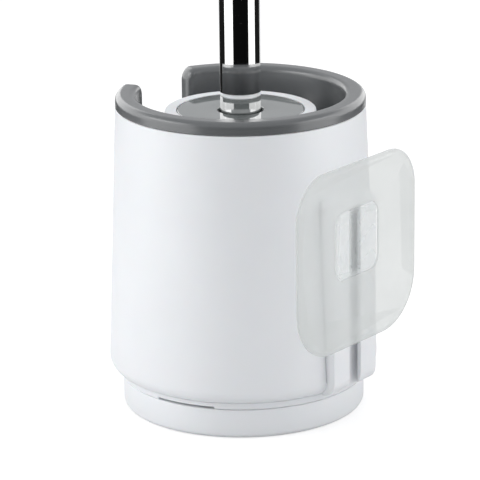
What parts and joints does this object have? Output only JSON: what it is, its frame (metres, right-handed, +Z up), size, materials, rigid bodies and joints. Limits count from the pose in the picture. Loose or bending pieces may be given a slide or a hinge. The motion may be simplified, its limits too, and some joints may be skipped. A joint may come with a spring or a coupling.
{
  "type": "toilet brush holder",
  "caption": "Tapered round toilet brush holder with a notched collar, drip tray base, lidded brush on a steel tube handle, and a stick-on wall plate it hooks onto",
  "frame": {"origin": "middle of the base tray's flat underside, on the floor", "axes": "+Z up along the holder and the brush handle; +Y towards the wall, square to the adhesive face; the open notch faces -Y, turned 2.85 degrees towards -X"},
  "size_m": [0.1264, 0.1302, 0.394],
  "materials": {
    "white_plastic": "satin white moulded plastic",
    "grey_plastic": "satin-gloss mid grey moulded plastic",
    "grey_gloss": "mirror-gloss light grey plastic",
    "frosted_plastic": "frosted translucent sheet",
    "clear_plastic": "clear moulded plastic",
    "adhesive": "clear acrylic gel film",
    "polished_steel": "mirror-polished stainless tube",
    "zinc_steel": "plated steel thread",
    "stem_plastic": "white moulded plastic",
    "bristle": "white nylon filaments"
  },
  "bodies": {
    "base": {"base_tray": "white_plastic"},
    "holder": {"shell": "white_plastic", "collar": "grey_plastic"},
    "wall_mount": {"wall_plate": "frosted_plastic", "wall_hook": "clear_plastic", "adhesive_film": "adhesive"},
    "brush": {"handle_tube": "polished_steel", "handle_cap": "polished_steel", "lid_disc": "white_plastic", "lid_inset": "grey_gloss", "lid_underplate": "white_plastic", "lid_bush": "grey_plastic", "tube_plug": "stem_plastic", "threaded_stud": "zinc_steel", "brush_stem": "stem_plastic", "brush_hub": "stem_plastic", "bristle_tier_1": "bristle", "bristle_tier_2": "bristle", "bristle_tier_3": "bristle", "bristle_tier_4": "bristle", "bristle_tier_5": "bristle", "bristle_tier_6": "bristle", "bristle_tip": "bristle"}
  },
  "joints": [
    {"name": "brush_lift", "type": "slide", "parent": "base", "child": "brush", "axis": [0, 0, 1], "range_m": [0, 0.15]},
    {"name": "holder_lift", "type": "slide", "parent": "base", "child": "holder", "axis": [0, 0, 1], "range_m": [0, 0.03]},
    {"name": "plate_slide", "type": "slide", "parent": "holder", "child": "wall_mount", "axis": [0, 0, -1], "range_m": [0, 0.095]}
  ]
}
